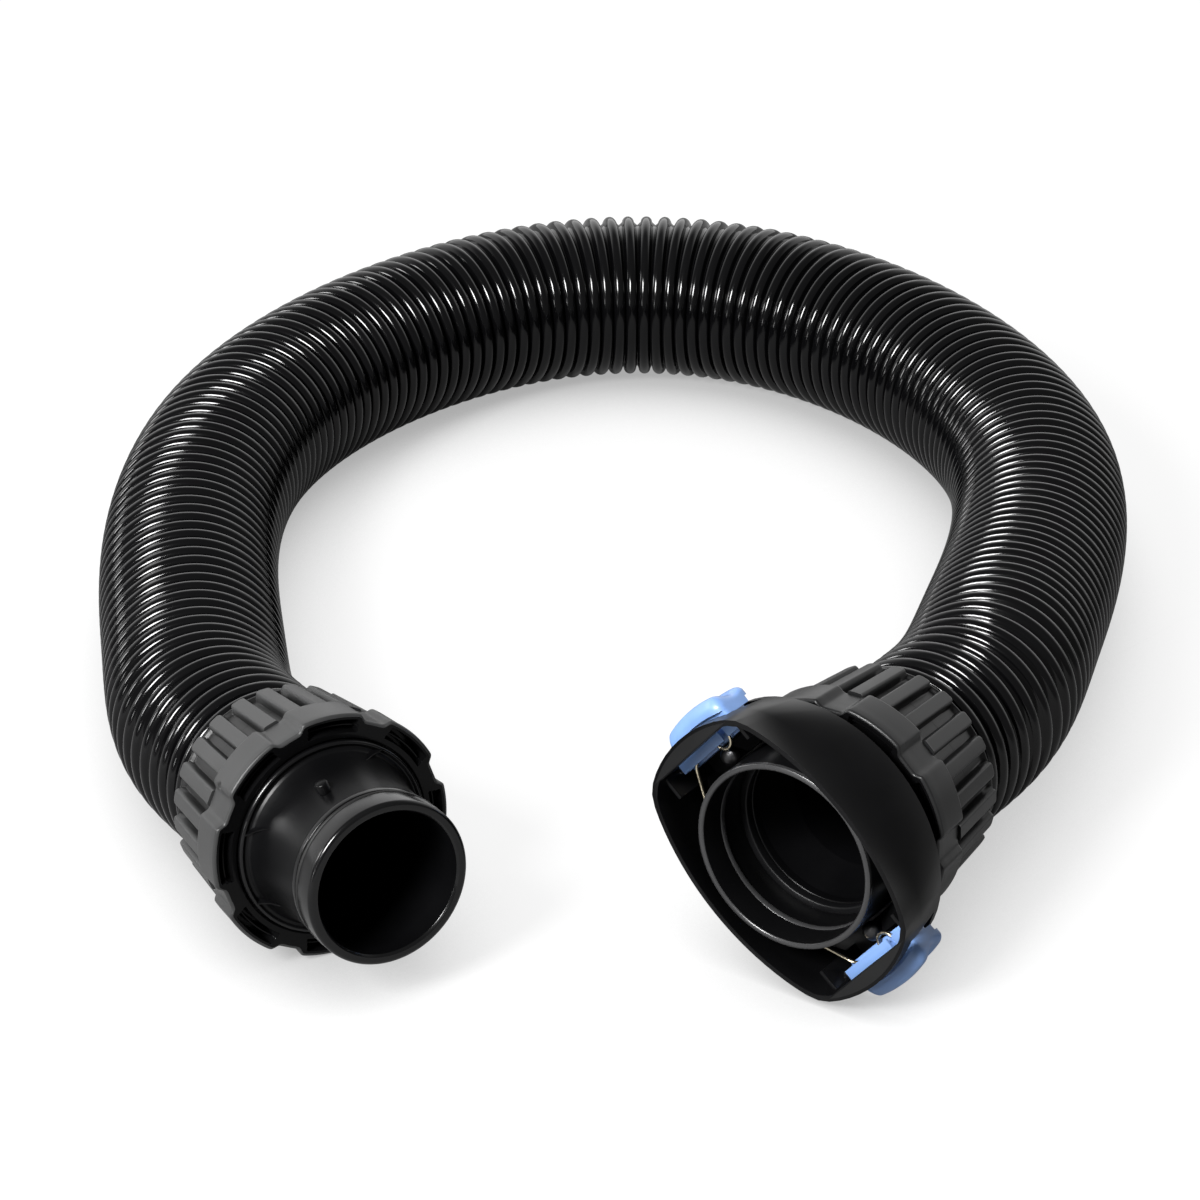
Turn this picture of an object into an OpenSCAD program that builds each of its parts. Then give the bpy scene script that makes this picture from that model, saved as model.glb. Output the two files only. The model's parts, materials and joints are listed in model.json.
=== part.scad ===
// Vacuum hose: a corrugated hose in a loop, with a plain spigot on one end and a
// latching socket on the other, each held by a screw collar.
// Millimetres, +Z up, standing on z = 0.
// The frame's origin is under the middle of the two end fittings.
// Each end fitting has an axis frame of its own: z points out of its mouth, and
// z = 0 is the front of its screw collar.

/* [Hose] */
// Outer diameter over the ribs
hose_od = 50; // [49.6:0.1:50.4]
// Depth of the ribs
rib_depth = 2; // [1:0.1:2.4]
// Distance from one rib to the next
rib_pitch = 5.3; // [5.2:0.1:7]
// Thickness of the hose wall between the ribs
hose_wall = 1.8; // [1.2:0.1:2.2]

/* [Spigot end] */
// Distance from the screw collar's front to the tip
spigot_reach = 30.8; // [28:0.2:36]
// Outer diameter of the tip
spigot_od = 43.3; // [42.4:0.1:43.3]
// How far the neck stands back from the tip's surface
neck_step = 0.65; // [0.3:0.05:1]
// Height of the gussets on the disc
gusset_h = 2; // [1:0.1:3]

/* [Socket end] */
// Distance from the screw collar's front to the socket's mouth
socket_reach = 22; // [21.6:0.1:24]
// Bore of the socket
socket_bore = 46.8; // [46.2:0.1:47.2]
// Thickness of the socket tube's wall
socket_wall = 1.6; // [1.4:0.1:1.8]
// How far the shroud reaches back from the socket's mouth
shroud_depth = 18; // [17.6:0.1:19]
// How far the shroud stands out in front of the socket's mouth
shroud_proud = 2.8; // [2:0.1:3.4]
// Room between the socket tube and the shroud's ends
shroud_room = 13.2; // [13:0.1:13.6]
// Room between the socket tube and the shroud's sides
side_room = 2.7; // [2.4:0.1:3.4]
// Thickness of the shroud's wall
shroud_wall = 1.6; // [1.2:0.1:1.8]

/* [Latches] */
// Width of a latch's press pad
pad_w = 22.5; // [20:0.5:25]
// Travel of the latches shown, in degrees
latch_swing = 0; // [0:1:12]
// Diameter of the latch pins
pin_d = 1.6; // [1.2:0.1:1.8]
// Wire diameter of the springs
wire_d = 0.9; // [0.7:0.1:1]

/* [Screw collars] */
// Length of a collar
collar_len = 33; // [32:0.5:36]
// Diameter over the collar's lobes
lobe_d = 65; // [64:0.2:65]
// Number of grip bars around a collar
bar_count = 24; // [16:1:28]
// Height of a grip bar
bar_h = 1.6; // [0.8:0.1:1.6]

/* [Hidden] */
$fn = 96;
eps = 0.01;
// How far a cut runs past what it cuts
past = 1;

// Places of the two end fittings: the middle of each collar's front
spigot_at = [-62.5, -4, 32.6];
spigot_heading = 30;
spigot_tilt = 4.5;
socket_at = [61.4, -3.7, 37.3];
socket_heading = -35;
socket_tilt = 0;

// Hose section. The hose has eight sides, so its radii are at the corners.
hose_sides = 8;
hose_r = hose_od / 2;
valley_r = hose_r - rib_depth;
bore_corner_r = valley_r - hose_wall;
bore_clear_r = bore_corner_r * cos(180 / hose_sides);
ribs_per_bore_ring = 3;

// Adapter, from the front of its disc back into the hose
fit_gap = 0.3;
disc_r = hose_r + 0.7;
disc_front = 0.6;
disc_back = -2.4;
sleeve_r = hose_r + 0.2;
sleeve_back = -10;
gasket_t = 1.5;
hose_end = sleeve_back - gasket_t;
tail_r = bore_clear_r - fit_gap;
tail_bore_r = tail_r - 1.8;
tail_back = -46;
tail_chamfer = 1;
thread_pitch = 3;
thread_depth = 0.5;
thread_count = 2;

// Grip ring
grip_front = -13;
grip_back = -21;
grip_inner_r = hose_r + fit_gap;
grip_outer_r = grip_inner_r + 1.3;
grip_slit = 6;

// Screw collar
front_bore_r = disc_r + 0.35;
front_bore_back = -4.5;
thread_bore_r = sleeve_r + 0.1;
pocket_r = grip_outer_r + fit_gap;
pocket_back = grip_back - 1;
lip_r = hose_r + 0.35;
flange_back = -11;
lobe_r = lobe_d / 2;
lobe_taper = 0.7;
lobe_edge = 1;
lobe_count = 8;
notch_floor_r = lobe_r - 1.8;
notch_floor_w = 6;
notch_mouth_w = 10.4;
cone_rise = 3.65;
cone_front_r = lip_r + cone_rise;
cone_back_r = lip_r + 1.4;
bar_w = 4.5;
bar_sink = 0.5;
bar_inset = 0.4;
face_pocket_depth = 6;
face_pocket_in_r = 27.8;
face_pocket_out_r = lobe_r - 1.5;
face_pocket_deg = 26;
face_web_in_r = 28.8;
face_web_out_r = 29.6;
face_web_drop = 1.5;
spigot_notch_deg = 18;
socket_notch_deg = 2;

// Spigot details, as distances back from the tip
spigot_r = spigot_od / 2;
neck_r = spigot_r - neck_step;
mouth_bore_r = spigot_r - 2.85;
flare_disc_r = neck_r + 0.64 * (disc_r - neck_r);
tip_round = 1.2;
band_back = 6.5;
groove_back = 8.5;
groove_r = spigot_r - 1.35;
land_r = spigot_r - 0.35;
land_back = 10;
land_step = 0.5;
neck_back = 14;
mouth_taper_front = 5.6;
ring_wire_r = 0.6;
ring_center_r = groove_r + ring_wire_r + 0.05;
gusset_t = 1;
gusset_count = 8;
gusset_deg = 33;
gusset_inset = 0.2;
lug_back = 17.8;
lug_deg = 110;
lug_r = 1.7;
lug_out_r = neck_r + 3;

// Socket tube, as distances back from its mouth
tube_bore_r = socket_bore / 2;
tube_r = tube_bore_r + socket_wall;
tube_len = socket_reach - disc_front;
seal_t = 2.5;
collar_rise = 2.4;
seal_in_r = tube_bore_r - 1.8;
seal_seat_r = tube_bore_r + 0.4;
seal_out_r = seal_seat_r - 0.05;
seal_seat_len = collar_rise + seal_t + 0.1;
stop_bore_r = tube_bore_r - 2.1;
stop_taper = 13;

// Shroud. Its long axis stands at shroud_deg, seen from the mouth.
shroud_deg = 140;
shroud_blend = 40;
shroud_side_r = 68.5;
shroud_end_r = tube_r + shroud_room;
shroud_half_w = tube_r + side_room;
shroud_back_end_r = shroud_end_r - 1.7;
shroud_belly = 3.7;
shroud_back_half_w = shroud_half_w + shroud_belly;
shroud_back_side_r = 40;
cheek_back = 4;
cheek_out = 1.3;
cheek_share = cheek_back / shroud_depth;
shroud_points = 72;
back_plate_t = 2;
bridge_t = 4;
window_half_w = 13.6;
window_front = 2;
window_back = shroud_depth - 3;
rib_t = 1;
rib_y = 15.3;
rib_front = 0.6;
stop_y = [-11, -4];
stop_front = 6;

// Places between the tube's wall (0) and the shroud's end (1), in the shroud's frame,
// where x runs outward from the socket's axis and z out of the mouth
function across(share) = tube_r + share * shroud_room;
bridge_chord = across(0.727);
window_x = across(0.273);
rib_x = across(0.182);
stop_x = [across(0.038), across(0.35)];
pivot_x = across(0.53);
web_x = across(0.424);
bar_x = across(0.47);
bar_x_out = across(0.697);
screw_at = [across(0.2), 0];
screw_head_r = 0.193 * shroud_room;

// Latch
pivot_back = shroud_depth / 2;
pin_r = pin_d / 2;
pin_gap = 0.05;
pin_half_len = rib_y - 0.1;
pin_hole_half_len = rib_y + 0.05;
latch_half_w = pad_w / 2;
pad_under_r = shroud_end_r + 0.3;
pad_front = 3.5;
pad_knots = [[pad_front, 2.2], [6, 3.9], [11.5, 2], [14.5, 2.6], [16, 1.2]];
pad_steps = 6;
web_front = 6.5;
web_back = 11.5;
web_half_w = 11;
web_sink = 0.5;
bar_front = 3.9;
bar_half_w = 12;
bar_notch = [-7.5, -5.5];
bar_notch_depth = 2;
wire_groove_depth = 1.35;
wire_groove_front = 4.6;
wire_groove_back = 6.1;
wire_groove_from = -7.5;

// Wire springs, as [x, y, distance back from the mouth] in the shroud's frame
wire_r = wire_d / 2;
wire_sides = 8;
wire_steps = 4;
wire_gap = 0.3;
wire_x = bar_x + wire_groove_depth - wire_gap - wire_r;
wire_rest = tube_r + wire_gap + wire_r;
wire_rest_deg = 29;
wire_back = (wire_groove_front + wire_groove_back) / 2;
wire_bend_y = 8.5;
hook_y = -4;
hook_r = 2.6;
hook_steps = 6;

// Domed screws on bosses in the shroud
screw_head_h = 0.8;
screw_dome = 1.7;
screw_shank_r = 1.2;
screw_shank_len = 6;
screw_seat_back = 8.6;
boss_r = 2;

// Route of the hose between its two straight ends, as [x, y, rise above lying flat]
route = [
    [-102, 73, 1], [-106, 107, 0], [-114, 164, 0], [-109, 233, 0], [-79, 291, 0],
    [-36, 331, 0], [8, 347, 0], [50, 340, 0], [89, 312, 0], [119, 267, 0],
    [134, 214, 0], [127, 155, 2], [114, 102, 8], [107, 70, 12]
];
// Places of the route's points on each straight end, back from the collar's front
straight_steps = [-hose_end, 32, 50, 66];

function axis_of(heading, tilt) =
    [cos(tilt) * sin(heading), -cos(tilt) * cos(heading), sin(tilt)];
spigot_axis = axis_of(spigot_heading, spigot_tilt);
socket_axis = axis_of(socket_heading, socket_tilt);

// The hose's middle line: a uniform cubic B-spline through the route
guides = concat(
    [for (s = straight_steps) spigot_at - s * spigot_axis],
    [for (p = route) [p[0], p[1], hose_r + p[2]]],
    [for (i = [len(straight_steps) - 1 : -1 : 0]) socket_at - straight_steps[i] * socket_axis]
);
last_guide = len(guides) - 1;
padded = concat(
    [2 * guides[0] - guides[1]],
    guides,
    [2 * guides[last_guide] - guides[last_guide - 1]]
);
function spline_at(p, last, t) =
    let (i = min(floor(t), last - 1), u = t - i)
    ((1 - u) ^ 3 * p[i] + (3 * u ^ 3 - 6 * u ^ 2 + 4) * p[i + 1]
        + (-3 * u ^ 3 + 3 * u ^ 2 + 3 * u + 1) * p[i + 2] + u ^ 3 * p[i + 3]) / 6;

// Length along the middle line, for evenly spaced ribs
samples_per_span = 24;
sample_count = last_guide * samples_per_span;
samples = [for (i = [0 : sample_count]) spline_at(padded, last_guide, i / samples_per_span)];
function run_lengths(i = 0, run = 0) =
    i == sample_count
        ? [run]
        : concat([run], run_lengths(i + 1, run + norm(samples[i + 1] - samples[i])));
run_at = run_lengths();
hose_length = run_at[sample_count];
rib_count = round(hose_length / rib_pitch);

// Point on the middle line at a length from the spigot's end
function place_at(s, lo = 0, hi = sample_count) =
    hi - lo <= 1
        ? let (f = (s - run_at[lo]) / (run_at[hi] - run_at[lo])) (1 - f) * samples[lo] + f * samples[hi]
        : let (mid = floor((lo + hi) / 2))
            run_at[mid] <= s ? place_at(s, mid, hi) : place_at(s, lo, mid);

function unit(v) = v / norm(v);

// Ring of a sweep: corners around a point, with the first one level
function level_ring(center, along, r, sides) =
    let (side = unit(cross(along, [0, 0, 1])), up = cross(side, along))
    [for (k = [0 : sides - 1])
        let (a = 360 * k / sides)
        center + r * (cos(a) * side + sin(a) * up)];

function hose_direction(s) =
    let (d = 0.5)
    unit(place_at(min(s + d, hose_length)) - place_at(max(s - d, 0)));

function hose_ring(s, r) = level_ring(place_at(s), hose_direction(s), r, hose_sides);

// Triangles between two neighbouring rings of a point list
function skin(first, next, sides, flip = false) =
    [for (k = [0 : sides - 1], half = [0, 1])
        let (
            a = first + k,
            b = first + (k + 1) % sides,
            c = next + (k + 1) % sides,
            d = next + k,
            face = half == 0 ? [a, b, c] : [a, c, d]
        )
        flip ? [face[2], face[1], face[0]] : face];

// Ribbed hose: two rings a rib outside, a plain bore inside, open at both ends
module hose() {
    rib_rings = [for (i = [0 : 2 * rib_count])
        hose_ring(hose_length * i / (2 * rib_count), i % 2 == 0 ? hose_r : valley_r)];
    bore_steps = ceil(rib_count / ribs_per_bore_ring);
    bore_rings = [for (i = [0 : bore_steps])
        hose_ring(hose_length * i / bore_steps, bore_corner_r)];
    points = concat([for (ring = rib_rings, p = ring) p], [for (ring = bore_rings, p = ring) p]);
    bore_first = len(rib_rings) * hose_sides;
    rib_last = bore_first - hose_sides;
    bore_last = len(points) - hose_sides;
    faces = concat(
        [for (i = [0 : 2 * rib_count - 1])
            each skin(i * hose_sides, (i + 1) * hose_sides, hose_sides)],
        [for (i = [0 : bore_steps - 1])
            each skin(bore_first + i * hose_sides, bore_first + (i + 1) * hose_sides, hose_sides, true)],
        skin(0, bore_first, hose_sides, true),
        skin(rib_last, bore_last, hose_sides)
    );
    color("#17181a") polyhedron(points, faces);
}

module at_spigot() {
    translate(spigot_at) rotate([90 - spigot_tilt, 0, spigot_heading]) children();
}

module at_socket() {
    translate(socket_at) rotate([90 - socket_tilt, 0, socket_heading]) children();
}

module ring(r_in, r_out, z_low, z_high) {
    translate([0, 0, z_low]) difference() {
        cylinder(r = r_out, h = z_high - z_low);
        translate([0, 0, -past]) cylinder(r = r_in, h = z_high - z_low + 2 * past);
    }
}

// Sector of a ring, centred on +x
module ring_sector(r_in, r_out, deg, z_low, z_high) {
    far = 2 * r_out;
    translate([0, 0, z_low]) linear_extrude(z_high - z_low) intersection() {
        difference() {
            circle(r = r_out);
            circle(r = r_in);
        }
        polygon([[0, 0], far * [cos(deg / 2), -sin(deg / 2)], far * [cos(deg / 2), sin(deg / 2)]]);
    }
}

module repeat_around(count, phase = 0) {
    for (i = [0 : count - 1]) rotate(phase + 360 * i / count) children();
}

// Outline of the part of an adapter that both ends share, from the disc's front
// back into the hose, as [radius, z] points
back_outline = [
    [disc_r, disc_front],
    [disc_r, disc_back],
    [sleeve_r, disc_back],
    for (i = [1 : thread_count]) each [
        [sleeve_r, disc_back - (i - 0.75) * thread_pitch],
        [sleeve_r - thread_depth, disc_back - (i - 0.5) * thread_pitch],
        [sleeve_r, disc_back - (i - 0.25) * thread_pitch]
    ],
    [sleeve_r, sleeve_back],
    [tail_r, sleeve_back],
    [tail_r, tail_back + tail_chamfer],
    [tail_r - tail_chamfer, tail_back],
    [tail_bore_r, tail_back]
];

function from_tip(s) = spigot_reach - s;

module spigot_adapter() {
    tip_outline = [
        [mouth_bore_r, from_tip(tip_round / 2)],
        [mouth_bore_r + tip_round / 2, from_tip(0)],
        for (a = [90 : -15 : 0])
            [spigot_r - tip_round + tip_round * cos(a), from_tip(tip_round - tip_round * sin(a))],
        [spigot_r, from_tip(band_back)],
        [groove_r, from_tip(band_back)],
        [groove_r, from_tip(groove_back)],
        [land_r, from_tip(groove_back)],
        [land_r, from_tip(land_back)],
        [neck_r, from_tip(land_back + land_step)],
        [neck_r, from_tip(neck_back)]
    ];
    flare_outline = [for (i = [1 : 10])
        let (a = 9 * i)
        [neck_r + (flare_disc_r - neck_r) * (1 - cos(a)),
            from_tip(neck_back) + (disc_front - from_tip(neck_back)) * sin(a)]];
    color("#1b1c1e") at_spigot() {
        rotate_extrude() polygon(concat(
            [[tail_bore_r, disc_back], [mouth_bore_r, mouth_taper_front]],
            tip_outline,
            flare_outline,
            back_outline
        ));
        repeat_around(gusset_count, gusset_deg) {
            translate([neck_r, -gusset_t / 2, disc_front - eps])
                cube([disc_r - neck_r - gusset_inset, gusset_t, gusset_h + eps]);
        }
        // Round lug that stands out of the neck
        rotate(lug_deg) translate([neck_r - past, 0, from_tip(lug_back)]) rotate([0, 90, 0])
            cylinder(r = lug_r, h = lug_out_r - neck_r + past, $fn = 48);
    }
}

module spigot_o_ring() {
    color("#0c0c0d") at_spigot() translate([0, 0, from_tip((band_back + groove_back) / 2)])
        rotate_extrude() translate([ring_center_r, 0]) circle(r = ring_wire_r, $fn = 32);
}

module hose_gasket() {
    ring(tail_r + fit_gap, hose_r, hose_end, sleeve_back);
}

// Split ring that the collar presses on the hose
module grip_ring() {
    difference() {
        ring(grip_inner_r, grip_outer_r, grip_back, grip_front);
        translate([0, -grip_slit / 2, grip_back - past])
            cube([2 * grip_outer_r, grip_slit, grip_front - grip_back + 2 * past]);
    }
}

// Screw collar: lobed flange, tapered barrel with grip bars, pocketed front
module screw_collar(notch_deg) {
    barrel = [
        [thread_bore_r, front_bore_back],
        [front_bore_r, front_bore_back],
        [front_bore_r, 0],
        [lobe_r - lobe_edge, 0],
        for (a = [75 : -15 : 0])
            [lobe_r - lobe_edge + lobe_edge * cos(a), -lobe_edge + lobe_edge * sin(a)],
        [lobe_r - lobe_taper, flange_back],
        [cone_front_r, flange_back],
        [cone_back_r, -collar_len],
        [lip_r, -collar_len],
        [lip_r, pocket_back],
        [pocket_r, pocket_back],
        [pocket_r, hose_end],
        [thread_bore_r, hose_end]
    ];
    bar_back = bar_inset - collar_len;
    bar_shell = [
        [cone_front_r - bar_sink, flange_back + bar_sink],
        [cone_front_r + bar_h, flange_back + bar_sink],
        [cone_back_r + bar_h, bar_back + bar_h / 2],
        [cone_back_r + bar_h / 2, bar_back],
        [cone_back_r - bar_sink, bar_back]
    ];
    difference() {
        rotate_extrude() polygon(barrel);
        repeat_around(lobe_count, notch_deg) translate([0, 0, flange_back - past])
            linear_extrude(2 * past - flange_back) polygon([
                [notch_floor_r, -notch_floor_w / 2],
                [lobe_r + past, -notch_mouth_w / 2],
                [lobe_r + past, notch_mouth_w / 2],
                [notch_floor_r, notch_floor_w / 2]
            ]);
        // Front pockets, each with an arc web standing in it
        repeat_around(lobe_count, notch_deg + 180 / lobe_count) difference() {
            ring_sector(
                face_pocket_in_r, face_pocket_out_r, face_pocket_deg, -face_pocket_depth, past
            );
            ring(face_web_in_r, face_web_out_r, -face_pocket_depth - past, -face_web_drop);
        }
    }
    intersection() {
        rotate_extrude() polygon(bar_shell);
        repeat_around(bar_count, notch_deg) translate([cone_back_r - 2 * bar_sink, -bar_w / 2, -collar_len])
            cube([lobe_r - cone_back_r, bar_w, collar_len]);
    }
}

module spigot_gasket() {
    color("#2b2b2d") at_spigot() hose_gasket();
}

module spigot_grip_ring() {
    color("#4a4c50") at_spigot() grip_ring();
}

module spigot_nut() {
    color("#36383b") at_spigot() screw_collar(spigot_notch_deg);
}

module socket_adapter() {
    collar_top = disc_front + collar_rise;
    color("#1b1c1e") at_socket() rotate_extrude() polygon(concat(
        [
            [tail_bore_r, collar_top - stop_taper],
            [stop_bore_r, disc_front],
            [stop_bore_r, collar_top],
            [seal_out_r, collar_top],
            [seal_out_r, disc_front]
        ],
        back_outline
    ));
}

module socket_seal() {
    color("#303236") at_socket()
        ring(seal_in_r, seal_out_r, disc_front + collar_rise, disc_front + collar_rise + seal_t);
}

module socket_gasket() {
    color("#2b2b2d") at_socket() hose_gasket();
}

module socket_grip_ring() {
    color("#4a4c50") at_socket() grip_ring();
}

module socket_nut() {
    color("#36383b") at_socket() screw_collar(socket_notch_deg);
}

// Shroud outline: an arc at each end, a flatter arc on each side, softly joined.
// The long axis is x.
function side_radius(a, half_w, side_r) =
    let (c = side_r - half_w, s = abs(sin(a)))
    -c * s + sqrt(c * c * s * s + side_r * side_r - c * c);

function shroud_outline(end_r, half_w, side_r) =
    [for (i = [0 : shroud_points - 1])
        let (
            a = 360 * i / shroud_points,
            r = (end_r ^ -shroud_blend + side_radius(a, half_w, side_r) ^ -shroud_blend)
                ^ (-1 / shroud_blend)
        )
        r * [cos(a), sin(a)]];

function mixed(from, to, share) = from + share * (to - from);

// Tapered block with the shroud's outline, between two distances from the mouth. Its
// sides swell a little behind the mouth.
module shroud_block(inset, front, back) {
    slice = 0.02;
    hull() {
        translate([0, 0, front - slice]) linear_extrude(slice) polygon(
            shroud_outline(shroud_end_r - inset, shroud_half_w - inset, shroud_side_r)
        );
        translate([0, 0, -cheek_back]) linear_extrude(slice) polygon(
            shroud_outline(
                mixed(shroud_end_r, shroud_back_end_r, cheek_share) - inset,
                mixed(shroud_half_w, shroud_back_half_w, cheek_share) + cheek_out - inset,
                mixed(shroud_side_r, shroud_back_side_r, cheek_share)
            )
        );
        translate([0, 0, -back]) linear_extrude(slice) polygon(
            shroud_outline(shroud_back_end_r - inset, shroud_back_half_w - inset, shroud_back_side_r)
        );
    }
}

// Frame with its x along the shroud's long axis and z = 0 at the socket's mouth
module at_shroud() {
    at_socket() translate([0, 0, socket_reach]) rotate(shroud_deg) children();
}

// Box given by its two corners
module block(low, high) {
    translate(low) cube(high - low);
}

// The two ends of the shroud are mirror images of each other
module both_ends() {
    children();
    mirror([1, 0, 0]) children();
}

module latch_housing() {
    far = shroud_end_r + 2;
    color("#1d1e20") at_shroud() difference() {
        union() {
            difference() {
                shroud_block(0, shroud_proud, shroud_depth);
                shroud_block(shroud_wall, shroud_proud + past, shroud_depth - back_plate_t);
                both_ends() block(
                    [window_x, -window_half_w, -window_back],
                    [far, window_half_w, -window_front]
                );
            }
            intersection() {
                shroud_block(shroud_wall / 2, shroud_proud, shroud_depth);
                both_ends() {
                    // Bridge across the front of the shroud's end
                    block(
                        [bridge_chord, -far, shroud_proud - bridge_t],
                        [far, far, shroud_proud]
                    );
                    // Ribs that carry the latch pin
                    for (side = [-1, 1]) block(
                        [rib_x, side * rib_y - rib_t / 2, -shroud_depth],
                        [far, side * rib_y + rib_t / 2, -rib_front]
                    );
                }
            }
            both_ends() {
                translate([screw_at[0], screw_at[1], -shroud_depth + eps])
                    cylinder(r = boss_r, h = shroud_depth - screw_seat_back - eps, $fn = 48);
                block(
                    [stop_x[0], stop_y[0], -shroud_depth + eps],
                    [stop_x[1], stop_y[1], -stop_front]
                );
            }
            translate([0, 0, -tube_len]) cylinder(r = tube_r, h = tube_len);
        }
        translate([0, 0, -tube_len - past]) {
            cylinder(r = tube_bore_r, h = tube_len + 2 * past);
            cylinder(r = seal_seat_r, h = seal_seat_len + past);
        }
        both_ends() {
            translate([pivot_x, 0, -pivot_back]) rotate([90, 0, 0]) cylinder(
                r = pin_r + pin_gap, h = 2 * pin_hole_half_len, center = true, $fn = 48
            );
            translate([screw_at[0], screw_at[1], -screw_seat_back - screw_shank_len - past])
                cylinder(r = screw_shank_r + pin_gap, h = screw_shank_len + 2 * past, $fn = 48);
        }
    }
}

// Outer edge of the press pad: soft waves through the knots
pad_edge = concat(
    [for (k = [0 : len(pad_knots) - 2], i = [0 : pad_steps - 1])
        let (f = (1 - cos(180 * i / pad_steps)) / 2, u = i / pad_steps)
        [
            pad_under_r + pad_knots[k][1] + f * (pad_knots[k + 1][1] - pad_knots[k][1]),
            -pad_knots[k][0] - u * (pad_knots[k + 1][0] - pad_knots[k][0])
        ]],
    [[pad_under_r + pad_knots[len(pad_knots) - 1][1], -pad_knots[len(pad_knots) - 1][0]]]
);

// Latch: press pad outside the shroud, web through its window, bar inside
module latch() {
    pad_back = pad_knots[len(pad_knots) - 1][0];
    difference() {
        union() {
            intersection() {
                rotate_extrude() polygon(concat(
                    [[pad_under_r, -pad_back], [pad_under_r, -pad_front]],
                    pad_edge
                ));
                block([0, -latch_half_w, -pad_back - past], [2 * pad_under_r, latch_half_w, 0]);
            }
            block([web_x, -web_half_w, -web_back], [pad_under_r + web_sink, web_half_w, -web_front]);
            block([bar_x, -bar_half_w, -web_front - past], [bar_x_out, bar_half_w, -bar_front]);
        }
        translate([pivot_x, 0, -pivot_back]) rotate([90, 0, 0])
            cylinder(r = pin_r + pin_gap, h = 4 * bar_half_w, center = true, $fn = 48);
        block(
            [bar_x - past, bar_notch[0], -bar_front - bar_notch_depth],
            [bar_x_out + past, bar_notch[1], 0]
        );
        block(
            [bar_x - past, wire_groove_from, -wire_groove_back],
            [bar_x + wire_groove_depth, bar_half_w + past, -wire_groove_front]
        );
    }
}

// Puts a latch at its place, swung about its pin
module swung_latch() {
    translate([pivot_x, 0, -pivot_back]) rotate([0, latch_swing, 0])
        translate([-pivot_x, 0, pivot_back]) latch();
}

module latch_pin() {
    translate([pivot_x, 0, -pivot_back]) rotate([90, 0, 0])
        cylinder(r = pin_r, h = 2 * pin_half_len, center = true, $fn = 48);
}

// Wire from the tube's wall to the bar, along it, and round in an open hook
wire_lead_in = 4;
wire_lead_y = 2;
wire_tail = 0.6;
wire_route = concat(
    [
        [wire_rest * cos(wire_rest_deg), wire_rest * sin(wire_rest_deg), wire_back - 1.5],
        [wire_x - wire_lead_in, wire_bend_y + wire_lead_y, wire_back - wire_gap],
        [wire_x - 0.4, wire_bend_y + 0.3, wire_back],
        [wire_x, wire_bend_y - wire_lead_y, wire_back],
        [wire_x, (wire_bend_y + hook_y) / 2, wire_back],
        [wire_x, hook_y + hook_r + wire_tail, wire_back]
    ],
    [for (i = [0 : hook_steps])
        let (a = 90 - 180 * i / hook_steps)
        [wire_x - hook_r * cos(a), hook_y + hook_r * sin(a), wire_back]]
);
wire_corners = [for (p = wire_route) [p[0], p[1], -p[2]]];
wire_last = len(wire_corners) - 1;
wire_padded = concat(
    [2 * wire_corners[0] - wire_corners[1]],
    wire_corners,
    [2 * wire_corners[wire_last] - wire_corners[wire_last - 1]]
);
wire_points = [for (i = [0 : wire_last * wire_steps])
    spline_at(wire_padded, wire_last, i / wire_steps)];

module wire_spring() {
    last = len(wire_points) - 1;
    rings = [for (i = [0 : last])
        level_ring(
            wire_points[i],
            unit(wire_points[min(i + 1, last)] - wire_points[max(i - 1, 0)]),
            wire_r,
            wire_sides
        )];
    points = [for (ring = rings, p = ring) p];
    first_face = [for (k = [0 : wire_sides - 1]) wire_sides - 1 - k];
    last_face = [for (k = [0 : wire_sides - 1]) last * wire_sides + k];
    polyhedron(points, concat(
        [for (i = [0 : last - 1]) each skin(i * wire_sides, (i + 1) * wire_sides, wire_sides)],
        [first_face, last_face]
    ));
}

module upper_latch() {
    color("#8db4ee") at_shroud() swung_latch();
}

module lower_latch() {
    color("#8db4ee") at_shroud() mirror([1, 0, 0]) swung_latch();
}

module upper_latch_pin() {
    color("#b8bbc0") at_shroud() latch_pin();
}

module lower_latch_pin() {
    color("#b8bbc0") at_shroud() mirror([1, 0, 0]) latch_pin();
}

module upper_latch_spring() {
    color("#cdbf9c") at_shroud() wire_spring();
}

module lower_latch_spring() {
    color("#cdbf9c") at_shroud() mirror([1, 0, 0]) wire_spring();
}

module domed_screw() {
    translate([screw_at[0], screw_at[1], -screw_seat_back]) rotate_extrude($fn = 48) polygon(concat(
        [
            [0, -screw_shank_len],
            [screw_shank_r, -screw_shank_len],
            [screw_shank_r, 0],
            [screw_head_r, 0]
        ],
        [for (a = [0 : 15 : 90]) [screw_head_r * cos(a), screw_head_h + screw_dome * sin(a)]]
    ));
}

module spring_screws() {
    color("#70747a") at_shroud() both_ends() domed_screw();
}

hose();
spigot_adapter();
spigot_o_ring();
spigot_gasket();
spigot_grip_ring();
spigot_nut();
socket_adapter();
socket_seal();
socket_gasket();
socket_grip_ring();
socket_nut();
latch_housing();
upper_latch();
upper_latch_pin();
upper_latch_spring();
lower_latch();
lower_latch_pin();
lower_latch_spring();
spring_screws();
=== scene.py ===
import json
import math

import bmesh
import bpy
import numpy as np
from mathutils import Matrix, Vector


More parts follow.
